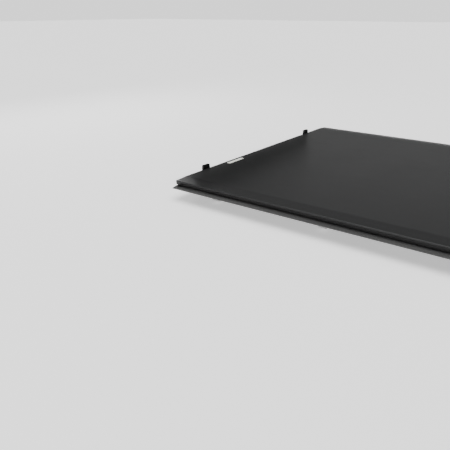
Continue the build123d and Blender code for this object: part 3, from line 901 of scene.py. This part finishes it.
def powder_material():
    """Powder-coated rails."""
    material, tree, shader = blank("powder_coated_rail")
    if tree:
        place = place_of(tree)
        peel = noise(tree, place, 900.0, 3.0)
        slow = noise(tree, scaled(tree, place, 4.0, 0.5, 4.0), 4.0, 4.0)
        streaks = noise(tree, scaled(tree, place, 60.0, 4.0, 60.0), 6.0, 5.0)
        rub = ranged(tree, streaks, 0.62, 0.75, 0.0, 0.35)
        tone = mixed(tree, slow, colour_of("rail_dark"), colour_of("rail_light"))
        tone = mixed(tree, rub, tone, grey(0.11))
        rough = ranged(tree, slow, 0.3, 0.7, 0.42, 0.52)
        normal = bumped(tree, peel, 0.00008, 0.5, softened(tree, 0.0008))
        join_shader(tree, shader, tone, rough, normal, Metallic=0.15)
    return material


def aluminium_material():
    """Drawn aluminium, bare."""
    material, tree, shader = blank("mill_aluminium")
    if tree:
        place = place_of(tree)
        drawn = noise(tree, scaled(tree, place, 6.0, 900.0, 900.0), 1.0, 3.0)
        slow = noise(tree, place, 7.0, 4.0)
        tone = mixed(tree, slow, grey(0.42), grey(0.58, 0.01))
        rough = ranged(tree, drawn, 0.3, 0.7, 0.26, 0.4)
        rough = maths(tree, "ADD", rough, maths(tree, "MULTIPLY", slow, 0.1))
        normal = bumped(tree, drawn, 0.00004, 0.5, softened(tree, 0.0006))
        join_shader(tree, shader, tone, rough, normal, Metallic=1.0)
    return material


def steel_material():
    """Zinc-plated screws and pins."""
    material, tree, shader = blank("zinc_plated_steel")
    if tree:
        place = place_of(tree)
        spangle = cells(tree, place, 260.0)
        slow = noise(tree, place, 60.0, 4.0)
        tone = mixed(tree, slow, grey(0.38, 0.02), grey(0.6, 0.03))
        rough = ranged(tree, spangle, 0.0, 0.9, 0.25, 0.42)
        join_shader(tree, shader, tone, rough, softened(tree, 0.0004), Metallic=1.0)
    return material


def black_steel_material():
    """Coated steel with worn specks."""
    material, tree, shader = blank("black_coated_steel")
    if tree:
        place = place_of(tree)
        peel = noise(tree, place, 700.0, 3.0)
        chip = ranged(tree, noise(tree, place, 120.0, 6.0), 0.68, 0.74, 0.0, 0.7)
        tone = mixed(tree, chip, grey(0.02), grey(0.14, 0.06))
        normal = bumped(tree, peel, 0.0001, 0.5, softened(tree, 0.0006))
        join_shader(tree, shader, tone, ranged(tree, peel, 0.3, 0.7, 0.38, 0.5), normal, Metallic=0.2)
    return material


def moulding_material():
    """Textured black plastic."""
    material, tree, shader = blank("moulded_plastic")
    if tree:
        place = place_of(tree)
        spark = noise(tree, place, 1500.0, 2.0)
        slow = noise(tree, place, 18.0, 3.0)
        tone = mixed(tree, slow, grey(0.018), grey(0.03, 0.02))
        normal = bumped(tree, spark, 0.00008, 0.6, softened(tree, 0.0008))
        join_shader(tree, shader, tone, ranged(tree, slow, 0.3, 0.7, 0.5, 0.62), normal)
    return material


def buckle_material():
    """Smooth black plastic with scuffs."""
    material, tree, shader = blank("acetal_buckle")
    if tree:
        place = place_of(tree)
        flow = noise(tree, scaled(tree, place, 1.0, 1.0, 0.25), 240.0, 3.0)
        scuff = ranged(tree, noise(tree, place, 500.0, 6.0), 0.62, 0.72, 0.0, 1.0)
        tone = mixed(tree, scuff, grey(0.006), grey(0.016))
        rough = ranged(tree, flow, 0.3, 0.7, 0.24, 0.34)
        rough = maths(tree, "ADD", rough, maths(tree, "MULTIPLY", scuff, 0.15))
        join_shader(tree, shader, tone, rough, bumped(tree, flow, 0.00004, 0.5, softened(tree, 0.0007)))
    return material


def foam_material():
    """Closed-cell foam."""
    material, tree, shader = blank("closed_cell_foam")
    if tree:
        place = place_of(tree)
        cell = cells(tree, place, 900.0)
        tone = mixed(tree, noise(tree, place, 40.0), grey(0.012), grey(0.024))
        tone = mixed(tree, ranged(tree, cell, 0.0, 0.4, 0.5, 0.0), tone, grey(0.004))
        join_shader(tree, shader, tone, 0.92, bumped(tree, cell, 0.0003, 0.8))
    return material


def rubber_material():
    """Extruded rubber with bloom."""
    material, tree, shader = blank("seal_rubber")
    if tree:
        place = place_of(tree)
        drawn = noise(tree, scaled(tree, place, 4.0, 700.0, 700.0), 1.0, 2.0)
        bloom = noise(tree, place, 25.0, 5.0)
        tone = mixed(tree, ranged(tree, bloom, 0.45, 0.75, 0.0, 1.0), grey(0.009), grey(0.026))
        rough = ranged(tree, bloom, 0.3, 0.7, 0.5, 0.68)
        join_shader(tree, shader, tone, rough, bumped(tree, drawn, 0.0001, 0.5))
    return material


def hook_material():
    """Hook tape."""
    material, tree, shader = blank("hook_tape")
    if tree:
        place = place_of(tree)
        hooks = cells(tree, place, 800.0)
        tone = mixed(tree, ranged(tree, hooks, 0.0, 0.6, 1.0, 0.0), grey(0.004), grey(0.02))
        join_shader(tree, shader, tone, 0.6, bumped(tree, hooks, 0.0006, 0.9), Sheen_Weight=0.2)
    return material


def label_material():
    """Blank printed label, slightly yellowed."""
    material, tree, shader = blank("blank_print")
    if tree:
        place = place_of(tree)
        fibre = noise(tree, scaled(tree, place, 1.0, 3.0, 1.0), 400.0, 4.0)
        stain = noise(tree, place, 30.0, 4.0)
        aged = ranged(tree, stain, 0.45, 0.75, 0.0, 0.5)
        tone = mixed(tree, aged, colour_of("label_clean"), colour_of("label_aged"))
        rough = ranged(tree, fibre, 0.3, 0.7, 0.35, 0.5)
        join_shader(tree, shader, tone, rough, bumped(tree, fibre, 0.00003, 0.4))
    return material


FINISHES = {
    "side_rail": powder_material,
    "front_rail": powder_material,
    "bow_ledges": powder_material,
    "front_corners": moulding_material,
    "rail_end_caps": moulding_material,
    "end_plugs": moulding_material,
    "rear_bar_shoes": moulding_material,
    "striker_blocks": moulding_material,
    "corner_brackets": black_steel_material,
    "clamp_brackets": black_steel_material,
    "strap_anchor_plates": black_steel_material,
    "cam_lever": black_steel_material,
    "buckle": buckle_material,
    "cap_screws": steel_material,
    "lever_pins": steel_material,
    "clamp_screw": steel_material,
    "clamp_jaw": aluminium_material,
    "bow_": aluminium_material,
    "rear_bar": aluminium_material,
}


class COVER_OT_finishes(bpy.types.Operator):
    """Gives every CAD node that shows its procedural finish"""

    bl_idname = "cover.finishes"
    bl_label = "Hard parts' finishes"

    def execute(self, context):
        for name, node in frame["nodes"].items():
            if node.hide_render:
                continue
            maker = next((made for part, made in FINISHES.items() if part in name), None)
            if maker is None:
                raise RuntimeError(f"no finish for {name}")
            for place in node.material_slots:
                place.material = maker()
        return {"FINISHED"}


# ---- stage ----
def aim(lamp, target):
    """Turns a lamp to a place."""
    lamp.rotation_euler = (Vector(target) - lamp.location).to_track_quat("-Z", "Y").to_euler()


def area_light(name, location, target, size, power):
    """A soft rectangular light."""
    data = bpy.data.lights.new(name, "AREA")
    data.shape = "RECTANGLE"
    data.size, data.size_y = size
    data.energy = power
    lamp = bpy.data.objects.new(name, data)
    bpy.context.scene.collection.objects.link(lamp)
    lamp.location = location
    aim(lamp, target)
    return lamp


class COVER_OT_stage(bpy.types.Operator):
    """Sets up the floor, the lights and the camera"""

    bl_idname = "cover.stage"
    bl_label = "Floor, lights and camera"

    def execute(self, context):
        self.floor()
        self.flag()
        self.sky()
        area_light("front_fill", (0.2, 2.6, 1.5), (0.0, 0.0, 0.0), (3.0, 0.6), 30)
        area_light("side_fill", (-3.6, -0.6, 0.75), (-0.8, -0.7, 0.0), (3.5, 0.8), 10)
        self.camera()
        return {"FINISHED"}

    def floor(self):
        """Plain pale floor, slightly lit by itself."""
        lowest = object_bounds()[0][2]
        bpy.ops.object.select_all(action="DESELECT")
        bpy.ops.mesh.primitive_plane_add(size=80, location=(0, 0, lowest - 0.003))
        floor = bpy.context.active_object
        floor.name = "floor"
        material, tree, shader = blank("pale_floor")
        tone = mixed(tree, noise(tree, place_of(tree), 0.6), grey(0.86), grey(0.9))
        join_shader(tree, shader, tone, 0.8, Emission_Strength=0.62)
        shader.inputs["Emission Color"].default_value = grey(1.0)
        dress(floor, material)
        floor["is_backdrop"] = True

    def flag(self):
        """Black card beside the front rail, seen only as a soft dark band in the vinyl's sheen."""
        bpy.ops.object.select_all(action="DESELECT")
        bpy.ops.mesh.primitive_plane_add(size=1)
        flag = bpy.context.active_object
        flag.name = "flag"
        bpy.ops.object.mode_set(mode="EDIT")
        bpy.ops.mesh.select_all(action="SELECT")
        bpy.ops.transform.resize(value=(1.25, 0.15, 1))
        bpy.ops.transform.rotate(value=math.pi / 2, orient_axis="X", center_override=(0, 0, 0))
        bpy.ops.transform.translate(value=(0.05, 0.09, 0.165))
        bpy.ops.object.mode_set(mode="OBJECT")
        material, tree, shader = blank("black_card")
        tone = mixed(tree, noise(tree, place_of(tree), 30.0), grey(0.02), grey(0.03))
        join_shader(tree, shader, tone, 0.9)
        dress(flag, material)
        flag.visible_camera = False
        flag.visible_shadow = False
        flag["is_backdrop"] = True

    def sky(self):
        """Surroundings, darker towards the cab and bright overhead, behind an even pale backdrop."""
        world = bpy.data.worlds.new("surroundings")
        world.use_nodes = True
        tree = world.node_tree
        bpy.context.scene.world = world
        away = add(tree, "ShaderNodeTexCoord").outputs["Generated"]
        parts = add(tree, "ShaderNodeSeparateXYZ", {"Vector": away})
        toward = ranged(tree, parts.outputs["Y"], 0.42, 0.70, 1.05, 0.60)
        horizon = ranged(tree, parts.outputs["Z"], 0.18, 0.42, 0.24, 0.36)
        zenith = ranged(tree, parts.outputs["Z"], 0.76, 0.92, 0.0, 4.0)
        ground = ranged(tree, parts.outputs["Z"], 0.02, 0.07, 0.8, 0.0)
        high = ranged(tree, parts.outputs["Z"], 0.44, 0.56, 1.0, 0.35)
        low_sky = maths(tree, "MULTIPLY", maths(tree, "MULTIPLY", toward, horizon), high)
        strength = maths(tree, "ADD", low_sky, zenith)
        strength = maths(tree, "MAXIMUM", strength, ground)
        seen = add(tree, "ShaderNodeLightPath").outputs["Is Camera Ray"]
        strength = mixed(tree, seen, strength, grey(1.4))
        background = tree.nodes["Background"]
        background.inputs["Color"].default_value = (1, 1, 1, 1)
        tree.links.new(strength, background.inputs["Strength"])

    def camera(self):
        """Three-quarter view from the tailgate's left, a little above the cover."""
        data = bpy.data.cameras.new("camera")
        data.lens = 41.6
        data.sensor_width = 36
        camera = bpy.data.objects.new("camera", data)
        bpy.context.scene.collection.objects.link(camera)
        camera.location = (-2.5375, -1.6152, 0.7885)
        camera.rotation_euler = (math.radians(67.54), 0, math.radians(-52.96))
        bpy.context.scene.camera = camera


class COVER_PT_panel(bpy.types.Panel):
    """The cover's sizes and its pieces"""

    bl_idname = "COVER_PT_panel"
    bl_label = "Roll-up cover"
    bl_space_type = "VIEW_3D"
    bl_region_type = "UI"
    bl_category = "Cover"

    def draw(self, context):
        settings = context.scene.cover_settings
        for name in settings.__annotations__:
            self.layout.prop(settings, name)
        for operator in OPERATORS:
            self.layout.operator(operator.bl_idname)


OPERATORS = (
    COVER_OT_vinyl,
    COVER_OT_label,
    COVER_OT_straps,
    COVER_OT_seals,
    COVER_OT_finishes,
    COVER_OT_stage,
)


def register():
    bpy.utils.register_class(CoverSettings)
    bpy.types.Scene.cover_settings = bpy.props.PointerProperty(type=CoverSettings)
    for made in OPERATORS:
        bpy.utils.register_class(made)
    bpy.utils.register_class(COVER_PT_panel)


def unregister():
    bpy.utils.unregister_class(COVER_PT_panel)
    for made in reversed(OPERATORS):
        bpy.utils.unregister_class(made)
    del bpy.types.Scene.cover_settings
    bpy.utils.unregister_class(CoverSettings)


def main():
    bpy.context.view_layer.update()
    register()
    bpy.ops.cover.vinyl()
    bpy.ops.cover.label()
    bpy.ops.cover.straps()
    bpy.ops.cover.seals()
    bpy.ops.cover.finishes()
    bpy.ops.cover.stage()
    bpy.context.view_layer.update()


if __name__ == "__main__":
    main()
